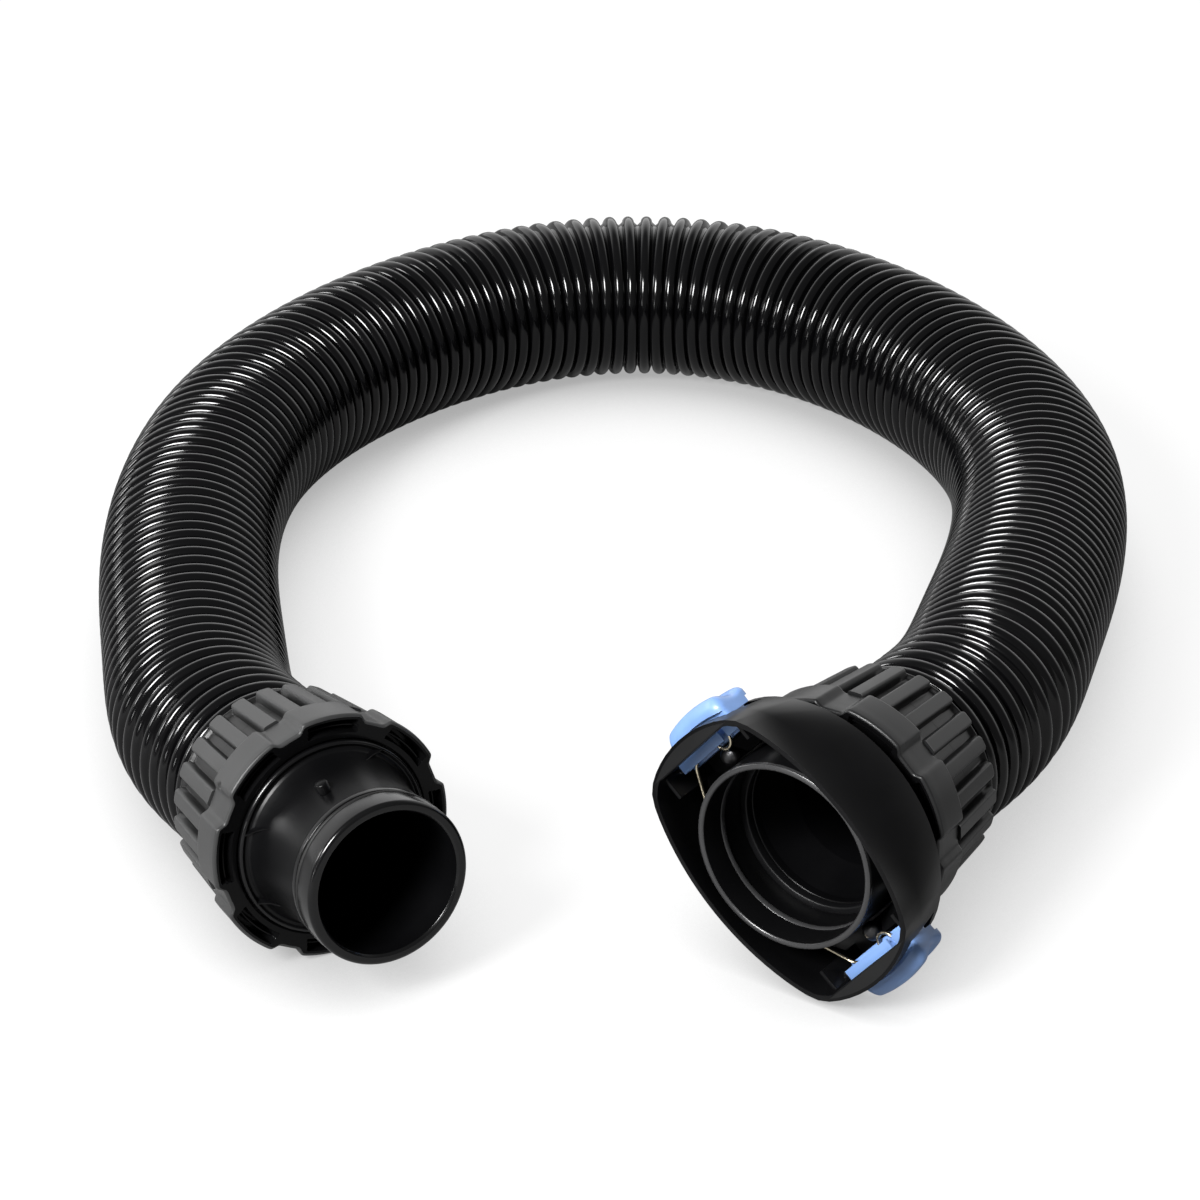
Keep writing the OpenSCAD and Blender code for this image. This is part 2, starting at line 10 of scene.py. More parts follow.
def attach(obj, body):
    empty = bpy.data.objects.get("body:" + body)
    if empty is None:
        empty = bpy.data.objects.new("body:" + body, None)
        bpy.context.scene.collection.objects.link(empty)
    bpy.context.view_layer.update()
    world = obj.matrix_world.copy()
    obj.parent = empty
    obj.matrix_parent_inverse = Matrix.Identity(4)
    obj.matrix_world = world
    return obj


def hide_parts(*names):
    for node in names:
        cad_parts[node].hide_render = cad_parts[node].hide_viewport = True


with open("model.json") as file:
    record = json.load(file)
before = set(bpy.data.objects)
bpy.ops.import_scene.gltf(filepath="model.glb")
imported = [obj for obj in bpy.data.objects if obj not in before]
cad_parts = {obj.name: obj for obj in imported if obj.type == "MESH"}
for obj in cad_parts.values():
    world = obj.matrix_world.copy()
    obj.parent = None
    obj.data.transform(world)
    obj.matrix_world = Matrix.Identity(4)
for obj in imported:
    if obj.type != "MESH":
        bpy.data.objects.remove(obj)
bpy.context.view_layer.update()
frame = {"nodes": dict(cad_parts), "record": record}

MM = 0.001
nodes = frame["nodes"]
ROOT = "hose_and_ends"


# ---------------------------------------------------------------- camera
def look_at(obj, target):
    direction = Vector(target) - obj.location
    obj.rotation_euler = direction.to_track_quat("-Z", "Y").to_euler()


camera_data = bpy.data.cameras.new("camera")
camera_data.sensor_width = 36
camera_data.lens = 132.6
camera_data.clip_start = 0.05
camera_data.clip_end = 50
camera = bpy.data.objects.new("camera", camera_data)
bpy.context.scene.collection.objects.link(camera)
camera.location = (0.004, -0.94667, 0.59772)
look_at(camera, (0.004, 0.1358, 0.025))
bpy.context.scene.camera = camera
bpy.context.scene.view_settings.view_transform = "Standard"


# ---------------------------------------------------------------- frames of the fittings
# All sizes are in millimetres until a matrix or MM brings them to metres.
def fitting_frame(at, heading, tilt):
    turn = (Matrix.Rotation(math.radians(heading), 4, "Z")
            @ Matrix.Rotation(math.radians(90 - tilt), 4, "X"))
    return Matrix.Translation(Vector(at) * MM) @ turn @ Matrix.Scale(MM, 4)


SPIGOT_AT, SPIGOT_HEADING, SPIGOT_TILT = (-62.5, -4, 32.6), 30, 4.5
SOCKET_AT, SOCKET_HEADING, SOCKET_TILT = (61.4, -3.7, 37.3), -35, 0
REACH = 22.0
SHROUD_TURN = 140
SPIGOT = fitting_frame(SPIGOT_AT, SPIGOT_HEADING, SPIGOT_TILT)
SOCKET = fitting_frame(SOCKET_AT, SOCKET_HEADING, SOCKET_TILT)
SHROUD = (SOCKET @ Matrix.Translation((0, 0, REACH))
          @ Matrix.Rotation(math.radians(SHROUD_TURN), 4, "Z"))


# ---------------------------------------------------------------- mesh helpers
def new_object(name, points, faces):
    mesh = bpy.data.meshes.new(name)
    mesh.from_pydata([tuple(p) for p in points], [], [tuple(f) for f in faces])
    mesh.validate()
    mesh.update()
    mesh.polygons.foreach_set("use_smooth", [True] * len(mesh.polygons))
    obj = bpy.data.objects.new(name, mesh)
    bpy.context.scene.collection.objects.link(obj)
    return obj


def moved(points, matrix):
    m = np.array(matrix)
    return np.asarray(points) @ m[:3, :3].T + m[:3, 3]


def grid_faces(rows, cols, close=False, first=0, flip=False):
    """Quads between rings of points; close joins the last ring to the first."""
    faces = []
    last_row = rows if close else rows - 1
    for i in range(last_row):
        a0 = first + i * cols
        b0 = first + ((i + 1) % rows) * cols
        for k in range(cols):
            n = (k + 1) % cols
            quad = (a0 + k, a0 + n, b0 + n, b0 + k)
            faces.append(quad[::-1] if flip else quad)
    return faces


def auto_smooth(obj, degrees):
    bpy.context.view_layer.objects.active = obj
    for o in bpy.context.selected_objects:
        o.select_set(False)
    obj.select_set(True)
    bpy.ops.object.shade_smooth_by_angle(angle=math.radians(degrees))
    obj.select_set(False)


def finish_piece(obj, body, material, replaces=()):
    obj.data.materials.clear()
    obj.data.materials.append(material)
    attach(obj, body)
    if replaces:
        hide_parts(*replaces)


# ---------------------------------------------------------------- hose
HOSE_R = 25.0
HOSE_PITCH = 5.3
HOSE_SIDES = 96
BEAD = 1.85
BEAD_ANGLES = (-88, -68, -48, -28, -10, 10, 28, 48, 68, 88)
BEAD_SHARE = 0.985
GROOVE = 2.75
# the solid's bore has flat sides, and this one touches them
BORE_CORNER_R = 21.2
BORE_FLATS = 8
SPAN_STEPS = 48
# the middle line's guide points: x, y and rise off the floor
ROUTE = [
    (-102, 73, 1), (-106, 107, 0), (-114, 164, 0), (-109, 233, 0), (-79, 291, 0),
    (-36, 331, 0), (8, 347, 0), (50, 340, 0), (89, 312, 0), (119, 267, 0),
    (134, 214, 0), (127, 155, 2), (114, 102, 8), (107, 70, 12),
]
# how far behind each fitting the guide points lie on its own axis
STRAIGHT = (11.5, 32, 50, 66)


def axis_of(heading, tilt):
    """Direction out of a fitting."""
    h, t = math.radians(heading), math.radians(tilt)
    return np.array([math.cos(t) * math.sin(h), -math.cos(t) * math.cos(h), math.sin(t)])


guides = [np.array(SPIGOT_AT) - s * axis_of(SPIGOT_HEADING, SPIGOT_TILT) for s in STRAIGHT]
guides += [np.array([x, y, HOSE_R + rise], float) for x, y, rise in ROUTE]
guides += [np.array(SOCKET_AT) - s * axis_of(SOCKET_HEADING, SOCKET_TILT)
           for s in reversed(STRAIGHT)]
guides = np.array(guides)
padded = np.vstack([2 * guides[0] - guides[1], guides, 2 * guides[-1] - guides[-2]])
spans = len(guides) - 1


def spline_at(t):
    """Points of the cubic B-spline that the guides steer; t counts spans."""
    t = np.asarray(t, float)
    i = np.minimum(np.floor(t).astype(int), spans - 1)
    u = (t - i)[:, None]
    return ((1 - u) ** 3 * padded[i] + (3 * u ** 3 - 6 * u ** 2 + 4) * padded[i + 1]
            + (-3 * u ** 3 + 3 * u ** 2 + 3 * u + 1) * padded[i + 2] + u ** 3 * padded[i + 3]) / 6


fine = spline_at(np.linspace(0, spans, spans * SPAN_STEPS + 1))
run = np.concatenate([[0], np.cumsum(np.linalg.norm(np.diff(fine, axis=0), axis=1))])
hose_length = run[-1]
ribs = round(hose_length / HOSE_PITCH)
pitch = hose_length / ribs


def on_run(s, values):
    return np.stack([np.interp(s, run, values[:, k]) for k in range(3)], -1)


tangents = np.gradient(fine, run, axis=0)
tangents /= np.linalg.norm(tangents, axis=1)[:, None]
bends = np.gradient(tangents, run, axis=0)
for _ in range(3):
    bends[1:-1] = (bends[:-2] + 2 * bends[1:-1] + bends[2:]) / 4


def hose_points(s, angle, r):
    """Points at s along the hose, at an angle round it and r from its middle line."""
    s = np.clip(s, 0, hose_length)
    along = on_run(s, tangents)
    along /= np.linalg.norm(along, axis=-1)[..., None]
    side = np.cross(along, [0, 0, 1.0])
    side /= np.linalg.norm(side, axis=-1)[..., None]
    up = np.cross(side, along)
    out = np.cos(angle)[..., None] * side + np.sin(angle)[..., None] * up
    return on_run(s, fine) + np.asarray(r)[..., None] * out, out


def build_hose():
    angles = np.arange(HOSE_SIDES) * 2 * math.pi / HOSE_SIDES
    rows = []
    for rib in range(ribs + 1):
        s0 = np.full(HOSE_SIDES, rib * pitch)
        _, out = hose_points(s0, angles, np.full(HOSE_SIDES, 1.0))
        # the ribs keep their width in a bend, and the grooves open and close
        stretch = 1 - HOSE_R * np.sum(on_run(s0, bends) * out, axis=1)
        room = 0.5 * pitch * stretch
        for a in np.radians(BEAD_ANGLES):
            away = np.clip(BEAD * math.sin(a), -BEAD_SHARE * room, BEAD_SHARE * room)
            rows.append((s0 + away / stretch, HOSE_R - BEAD * (1 - math.cos(a))))
        if rib < ribs:
            rows.append((s0 + 0.5 * pitch, HOSE_R - GROOVE))
    points = [hose_points(s, angles, np.full(HOSE_SIDES, r))[0] for s, r in rows]
    outer = len(points)
    bore_r = BORE_CORNER_R * math.cos(math.pi / BORE_FLATS)
    for i in range(ribs + 1):
        s = np.full(HOSE_SIDES, hose_length * i / ribs)
        points.append(hose_points(s, angles, np.full(HOSE_SIDES, bore_r))[0])
    total = len(points)
    points = np.vstack(points) * MM
    faces = grid_faces(outer, HOSE_SIDES)
    faces += grid_faces(total - outer, HOSE_SIDES, first=outer * HOSE_SIDES, flip=True)
    # end rings between the outside and the bore
    n = HOSE_SIDES
    for k in range(n):
        m = (k + 1) % n
        faces.append((m, k, outer * n + k, outer * n + m))
        a, b = (outer - 1) * n, (total - 1) * n
        faces.append((a + k, a + m, b + m, b + k))
    return new_object("ribbed_hose", points, faces)


# ---------------------------------------------------------------- materials
CLOUD_SCALE = 60
NOISE_SPAN = (0.3, 0.7)
TONE_SPAN = (0.82, 1.16)
# painted shade: the colour that the gaps between the collars' grip bars are darkened toward
GAP_SHADE_BLACK = 0.002
BUMP_STRENGTH = 0.6


def plastic(name, colour, rough=(0.25, 0.35), ior=1.45, bump=0.02, grain=900, gap_shade_mask=False):
    """Moulded plastic with uneven tone and gloss; bump is in mm."""
    mat = bpy.data.materials.new(name)
    mat.use_nodes = True
    tree = mat.node_tree
    tree.nodes.clear()
    out = tree.nodes.new("ShaderNodeOutputMaterial")
    bsdf = tree.nodes.new("ShaderNodeBsdfPrincipled")
    tree.links.new(bsdf.outputs["BSDF"], out.inputs["Surface"])
    bsdf.inputs["IOR"].default_value = ior
    place = tree.nodes.new("ShaderNodeTexCoord")
    cloud = tree.nodes.new("ShaderNodeTexNoise")
    cloud.inputs["Scale"].default_value = CLOUD_SCALE
    cloud.inputs["Detail"].default_value = 4
    tree.links.new(place.outputs["Object"], cloud.inputs["Vector"])
    tone = tree.nodes.new("ShaderNodeValToRGB")
    for stop, position, share in zip(tone.color_ramp.elements, NOISE_SPAN, TONE_SPAN):
        stop.position = position
        stop.color = [min(1, c * share) for c in colour] + [1]
    tree.links.new(cloud.outputs["Fac"], tone.inputs["Fac"])
    if gap_shade_mask:
        # painted shade: the mesh carries a share that is low in the gaps between grip bars, where
        # the colour is darkened toward black
        share = tree.nodes.new("ShaderNodeAttribute")
        share.attribute_name = "gap_shade_mask"
        shade = tree.nodes.new("ShaderNodeMix")
        shade.data_type = "RGBA"
        shade.inputs["A"].default_value = (GAP_SHADE_BLACK, GAP_SHADE_BLACK, GAP_SHADE_BLACK, 1)
        tree.links.new(share.outputs["Fac"], shade.inputs["Factor"])
        tree.links.new(tone.outputs["Color"], shade.inputs["B"])
        tree.links.new(shade.outputs["Result"], bsdf.inputs["Base Color"])
    else:
        tree.links.new(tone.outputs["Color"], bsdf.inputs["Base Color"])
    fine_noise = tree.nodes.new("ShaderNodeTexNoise")
    fine_noise.inputs["Scale"].default_value = grain
    fine_noise.inputs["Detail"].default_value = 3
    tree.links.new(place.outputs["Object"], fine_noise.inputs["Vector"])
    spread = tree.nodes.new("ShaderNodeMapRange")
    spread.inputs["From Min"].default_value = NOISE_SPAN[0]
    spread.inputs["From Max"].default_value = NOISE_SPAN[1]
    spread.inputs["To Min"].default_value = rough[0]
    spread.inputs["To Max"].default_value = rough[1]
    tree.links.new(cloud.outputs["Fac"], spread.inputs["Value"])
    tree.links.new(spread.outputs["Result"], bsdf.inputs["Roughness"])
    lift = tree.nodes.new("ShaderNodeBump")
    lift.inputs["Strength"].default_value = BUMP_STRENGTH
    lift.inputs["Distance"].default_value = bump * MM
    tree.links.new(fine_noise.outputs["Fac"], lift.inputs["Height"])
    tree.links.new(lift.outputs["Normal"], bsdf.inputs["Normal"])
    return mat


def metal(name, colour, rough=(0.2, 0.35)):
    mat = plastic(name, colour, rough=rough, bump=0.004, grain=2500)
    bsdf = next(n for n in mat.node_tree.nodes if n.type == "BSDF_PRINCIPLED")
    bsdf.inputs["Metallic"].default_value = 1
    return mat


hose_black = plastic(
    "hose_gloss_black", (0.0020, 0.0020, 0.0023), rough=(0.09, 0.15), ior=1.38, bump=0.003)
adapter_black = plastic(
    "adapter_satin_black", (0.0022, 0.0022, 0.0025), rough=(0.28, 0.36), ior=1.28, bump=0.003)
adapter_tip = plastic(
    "adapter_tip_gloss", (0.003, 0.003, 0.0033), rough=(0.15, 0.22), ior=1.42, bump=0.003)
rubber_black = plastic("rubber_black", (0.008, 0.008, 0.008), rough=(0.5, 0.65), ior=1.4)
seal_black = plastic("seal_dark", (0.004, 0.004, 0.0045), rough=(0.4, 0.5), ior=1.38)
lip_black = plastic(
    "lip_satin_black", (0.007, 0.007, 0.0073), rough=(0.3, 0.4), ior=1.42, bump=0.004)
# painted sheen: the tube's lip and the ridge in its bore belong to the black housing, and this
# lighter grey stands in for the light they catch
ring_painted_sheen = plastic(
    "mouth_ring_painted_sheen", (0.035, 0.035, 0.036), rough=(0.22, 0.3), ior=1.5, bump=0.004)
inner_grey = plastic("inner_grey", (0.06, 0.062, 0.066), rough=(0.45, 0.55))
# painted light: one grey for both collars, in a lit copy for the spigot collar and a shaded copy
# for the socket collar, as light falls on them
collar_painted_lit = plastic(
    "collar_grey_painted_lit", (0.036, 0.0363, 0.0365),
    rough=(0.34, 0.44), ior=1.40, bump=0.008, gap_shade_mask=True)
collar_painted_shaded = plastic(
    "collar_grey_painted_shaded", (0.013, 0.0132, 0.0135),
    rough=(0.30, 0.40), ior=1.38, bump=0.008, gap_shade_mask=True)
# painted shade: a far darker copy of the collar grey for the front faces and bores, which the
# lamps leave in shade
collar_front_shade = plastic(
    "collar_front_painted_shade", (0.003, 0.003, 0.0032), rough=(0.16, 0.24), ior=1.22, bump=0.003)
shroud_black = plastic(
    "shroud_satin_black", (0.0032, 0.0032, 0.0035), rough=(0.27, 0.35), ior=1.28, bump=0.004)
latch_blue = plastic("latch_blue", (0.190, 0.330, 0.65), rough=(0.30, 0.40), ior=1.58, bump=0.006)
pin_steel = metal("pin_steel", (0.5, 0.5, 0.52))
spring_wire = metal("spring_wire", (0.72, 0.64, 0.48), rough=(0.16, 0.28))
screw_dark = metal("screw_steel", (0.09, 0.09, 0.093), rough=(0.25, 0.5))

by_slot = {
    "hose_black": hose_black, "adapter_black": adapter_black, "rubber_black": rubber_black,
    "seal_black": seal_black, "inner_grey": inner_grey, "collar_grey": collar_painted_lit,
    "shroud_black": shroud_black, "latch_blue": latch_blue, "pin_steel": pin_steel,
    "spring_wire": spring_wire, "screw_dark": screw_dark,
}
for part in frame["record"]["subparts"]:
    obj = nodes[part["node"]]
    obj.data.materials.clear()
    obj.data.materials.append(by_slot[part["material_slot"]])

hose = build_hose()
finish_piece(hose, ROOT, hose_black, replaces=["hose"])


# ---------------------------------------------------------------- turned shapes
LEAST_EDGE = 1e-6
LEAST_TURN = math.radians(12)
EDGE_SHARE = 0.45


def fillet(points, radius, steps=3):
    """Rounds the corners of a closed outline."""
    points = [np.array(p, float) for p in points]
    result = []
    count = len(points)
    for i in range(count):
        before, here, after = points[i - 1], points[i], points[(i + 1) % count]
        a, b = before - here, after - here
        la, lb = np.linalg.norm(a), np.linalg.norm(b)
        if la < LEAST_EDGE or lb < LEAST_EDGE:
            result.append(here)
            continue
        a, b = a / la, b / lb
        turn = math.acos(max(-1, min(1, float(-(a @ b)))))
        if turn < LEAST_TURN:
            result.append(here)
            continue
        cut = min(radius * math.tan(turn / 2), EDGE_SHARE * la, EDGE_SHARE * lb)
        start, end = here + a * cut, here + b * cut
        for k in range(steps + 1):
            t = k / steps
            result.append((1 - t) ** 2 * start + 2 * t * (1 - t) * here + t * t * end)
    return result


def turned(outline, sides, matrix=None):
    """A closed (radius, height) outline turned about Z."""
    angles = np.arange(sides) * 2 * math.pi / sides
    rows = [np.stack([r * np.cos(angles), r * np.sin(angles), np.full(sides, z)], -1)
            for r, z in outline]
    points = np.vstack(rows)
    faces = grid_faces(len(rows), sides, close=True)
    if matrix is not None:
        points = moved(points, matrix)
    return points, faces


def joined(name, parts):
    points, faces, start = [], [], 0
    for p, f in parts:
        points.append(np.asarray(p))
        faces += [tuple(start + v for v in face) for face in f]
        start += len(p)
    return new_object(name, np.vstack(points), faces)


def points_of(mesh):
    at = np.zeros(len(mesh.vertices) * 3)
    mesh.vertices.foreach_get("co", at)
    return at.reshape(-1, 3)


def outward(obj):
    work = bmesh.new()
    work.from_mesh(obj.data)
    bmesh.ops.recalc_face_normals(work, faces=work.faces)
    work.to_mesh(obj.data)
    work.free()
    return obj


# ---------------------------------------------------------------- screw collars
def ease(x):
    """Soft step from 0 to 1."""
    x = np.clip(x, 0, 1)
    return x * x * (3 - 2 * x)


def wrapped(angle, period):
    """Signed distance to the nearest multiple of the period."""
    return (angle + period / 2) % period - period / 2


COLLAR_SIDES = 720
LOBE_STEP = 45
BAR_STEP = 15
NOTCH_R, NOTCH_HALF, NOTCH_SLANT = 30.7, 3, 1.3
LOBE_R, LOBE_RISE = 32.5, 1.8
FLANGE_BACK = -11
BARREL_LENGTH = 22
BARREL_FRONT_R, BARREL_BACK_R = 29.0, 26.75
BAR_H, BAR_HALF, BAR_CORNER, BAR_EDGE = 1.6, 2.25, 1.3, 0.7
BAR_MID_R = 0.8
BAR_END, GAP_END = 32.5, 32.6
GAP_DEPTH = 1.0
POCKET_R, POCKET_HALF_R, POCKET_HALF_LONG, POCKET_DEPTH = 29.4, 1.6, 6.7, 6
WEB_R, WEB_HALF, WEB_DEPTH = 29.2, 0.5, 1.5
FRONT_EDGE, BACK_EDGE = 0.8, 0.6
DENT_R, DENT_DEPTH = 1.05, 0.7
DENT_STEPS = (-1.3, -1, -0.8, -0.6, -0.3, 0, 0.3, 0.6, 0.8, 1, 1.3)
POCKET_RADII = (27.3, 27.65, 27.8, 27.95, 28.1, 28.4, 28.62, 28.75, 28.88, 29.05, 29.2, 29.35,
                29.52, 29.65, 29.78, 29.95)
BARREL_HEIGHTS = (-11.25, -11.6, -12.5, -14.5, -17, -19.5, -22, -24.5, -27, -29, -30.2, -30.9,
                  -31.3, -31.6, -31.85, -32.05, -32.2, -32.33, -32.43, -32.5, -32.6, -32.75)


def cone_r(z):
    """Radius of the barrel between its grip bars."""
    return BARREL_FRONT_R + (BARREL_BACK_R - BARREL_FRONT_R) * (FLANGE_BACK - z) / BARREL_LENGTH


def build_collar(name, matrix, notch_deg, dent=None):
    """Screw collar; dent is the (degrees, height) of a small hollow in the flange's side."""
    count = COLLAR_SIDES
    degrees = np.arange(count) * 360 / count
    from_notch = np.radians(wrapped(degrees - notch_deg, LOBE_STEP))
    from_pocket = np.radians(wrapped(degrees - notch_deg - LOBE_STEP / 2, LOBE_STEP))
    from_bar = np.radians(wrapped(degrees - notch_deg, BAR_STEP))
    # outline of the flange: lobes with slanted notches between them
    half = np.abs(np.tan(from_notch)) * NOTCH_R
    slant = np.clip((half - NOTCH_HALF) / NOTCH_SLANT, 0, 1)
    rim = np.where(half < NOTCH_HALF, NOTCH_R / np.cos(from_notch), NOTCH_R + slant * LOBE_RISE)
    rim = np.minimum(rim, LOBE_R)
    kernel = np.exp(-0.5 * (np.arange(-4, 5) / 1.5) ** 2)
    kernel /= kernel.sum()
    rim = sum(k * np.roll(rim, j - 4) for j, k in enumerate(kernel))
    rows = []

    def add(r, z):
        rows.append(tuple(np.broadcast_to(np.asarray(v, float), (count,)) for v in (r, z)))

    # inside, from the back to the front
    for r, z in ((25.35, -32.4), (25.35, -22), (26.9, -22), (26.9, -11.5), (25.3, -11.5),
                 (25.3, -4.5), (26.05, -4.5), (26.05, -0.35), (26.15, -0.1), (26.4, 0)):
        add(r, z)

    # front face with its pockets and the arc web in each
    def face_depth(r):
        across = np.abs(r - POCKET_R) - POCKET_HALF_R
        along = np.abs(from_pocket) * r - POCKET_HALF_LONG
        outside = np.hypot(np.maximum(across, 0), np.maximum(along, 0))
        d = outside + np.minimum(np.maximum(across, along), 0)
        pocket = ease((0.05 - d) / 0.3)
        web = ease((WEB_HALF - abs(r - WEB_R)) / 0.25)
        return -pocket * (POCKET_DEPTH * (1 - web) + WEB_DEPTH * web)

    for r in POCKET_RADII:
        add(r, face_depth(r))
    last_r = POCKET_RADII[-1]
    for f in (0.25, 0.4, 0.48, 0.56, 0.64, 0.75, 0.9, 1.0):
        r = last_r + f * (rim - FRONT_EDGE - last_r)
        add(r, face_depth(r))
    for a in (70, 50, 30, 12, 0):
        c, s = math.cos(math.radians(a)), math.sin(math.radians(a))
        add(rim - FRONT_EDGE + FRONT_EDGE * c, -FRONT_EDGE + FRONT_EDGE * s)

    # side of the flange, slightly drawn in toward the back
    dent_rows = [] if dent is None else [dent[1] + step for step in DENT_STEPS]
    for z in sorted([-3, -5, -10.3] + dent_rows, reverse=True):
        hollow = 0
        if dent is not None:
            away = np.hypot(np.radians(wrapped(degrees - dent[0], 360)) * 32, z - dent[1])
            hollow = DENT_DEPTH * ease((DENT_R - away) / 0.35)
        add(rim + 0.7 * z / 11 - hollow, z)
    for a in (20, 45, 70, 90):
        c, s = math.cos(math.radians(a)), math.sin(math.radians(a))
        add(rim - 0.66 - BACK_EDGE + BACK_EDGE * c, -10.4 - BACK_EDGE * s)

    # barrel with its grip bars
    def barrel(z):
        cone = cone_r(z)
        across = np.abs(from_bar) * (cone + BAR_MID_R) - BAR_HALF
        along = -(z + BAR_END)
        across_in, along_in = across + BAR_CORNER, along + BAR_CORNER
        d = (np.hypot(np.maximum(across_in, 0), np.maximum(along_in, 0))
             + np.minimum(np.maximum(across_in, along_in), 0) - BAR_CORNER)
        w = np.clip(-d / BAR_EDGE, 0, 1)
        gap = (GAP_DEPTH * ease(d / 0.25) * ease((FLANGE_BACK - z) / 1.5)
               * ease((z + GAP_END) / 1.5))
        return cone - gap + BAR_H * np.sqrt(np.maximum(0, 1 - (1 - w) ** 2))

    back_face = barrel(FLANGE_BACK)
    start = rim - 1.3
    for f in (0.25, 0.6, 0.85):
        add(start + f * (back_face + 0.25 - start), FLANGE_BACK)
    add(back_face + 0.08, FLANGE_BACK - 0.08)
    for z in BARREL_HEIGHTS:
        add(barrel(z), z)
    for r, z in ((26.72, -32.9), (26.6, -33), (25.6, -33), (25.4, -32.85)):
        add(r, z)
    angle = np.radians(degrees)
    radius = np.concatenate([r for r, _ in rows])
    height = np.concatenate([z for _, z in rows])
    points = np.stack([radius * np.tile(np.cos(angle), len(rows)),
                       radius * np.tile(np.sin(angle), len(rows)), height], -1)
    faces = grid_faces(len(rows), count, close=True)
    obj = outward(new_object(name, moved(points, matrix), faces))
    above = radius - cone_r(height)
    # painted shade: the share falls in the gaps between grip bars and stays full on the bars'
    # tops and the flange
    gap_shade_mask = np.where(height < FLANGE_BACK - 0.1, 0.15 + 0.85 * ease((above + 0.1) / 1.2), 1.0)
    set_share(obj, "gap_shade_mask", gap_shade_mask)
    # the front face and bore, which take the darker painted-shade copy of the collar's material
    front = (height > -7) & (radius < np.tile(rim, len(rows)) - 0.75)
    set_share(obj, "front", front)
    auto_smooth(obj, 50)
    return obj


def set_share(obj, name, values):
    """Stores one number on each point of the mesh."""
    share = obj.data.attributes.new(name, "FLOAT", "POINT")
    share.data.foreach_set("value", np.asarray(values, float))


def second_material(obj, material):
    """Gives the faces whose points carry the share "front" a material of their own."""
    obj.data.materials.append(material)
    share = obj.data.attributes["front"].data
    for face in obj.data.polygons:
        if all(share[v].value > 0.5 for v in face.vertices):
            face.material_index = 1


spigot_collar = build_collar("spigot_collar_moulding", SPIGOT, 18, dent=(145, -7.4))
finish_piece(spigot_collar, "spigot_collar", collar_painted_lit, replaces=["spigot_nut"])
second_material(spigot_collar, collar_front_shade)
socket_collar = build_collar("socket_collar_moulding", SOCKET, 2)
finish_piece(socket_collar, "socket_collar", collar_painted_shaded, replaces=["socket_nut"])
second_material(socket_collar, collar_front_shade)


# ---------------------------------------------------------------- adapters
NOSE_R = 1.2
SPIGOT_TIP = 30.8
NECK_R = 21
BORE_R = 17.49
FIN_HALF = 0.16
# outer radius and degrees, then inner radius and degrees
FINS = ((25.0, 163, 21.2, 150.5), (25.2, 53.5, 20.9, 74.5), (25.2, -151.5, 21.6, -150))
# share of the way in, and height
FIN_PROFILE = [(0, 0.2), (0, 1.05), (0.35, 2.3), (0.7, 4.3), (1, 7.5), (1, 0.2)]
LUG = [(1e-4, 0.0), (1.7, 0.0), (1.7, 3.6), (1.55, 3.88), (1.3, 4.0), (1e-4, 4.0)]
LUG_DEG, LUG_AT = 110, (20.0, 0, 13.0)
SEAL = [(21.6, 3.0), (23.75, 3.0), (23.75, 5.5), (21.6, 5.5)]


def back_part():
    """Outline of the disc's rim and of the ringed sleeve behind it."""
    outline = [(24.35, 0.35), (24.6, 0.75), (25.0, 0.95), (25.45, 0.8), (25.7, 0.4),
               (25.7, -2.4), (25.2, -2.4)]
    for i in (1, 2):
        outline += [(25.2, -2.4 - (i - 0.75) * 3), (24.7, -2.4 - (i - 0.5) * 3),
                    (25.2, -2.4 - (i - 0.25) * 3)]
    outline += [(25.2, -10), (19.29, -10), (19.29, -45), (18.29, -46), (BORE_R, -46)]
    return outline


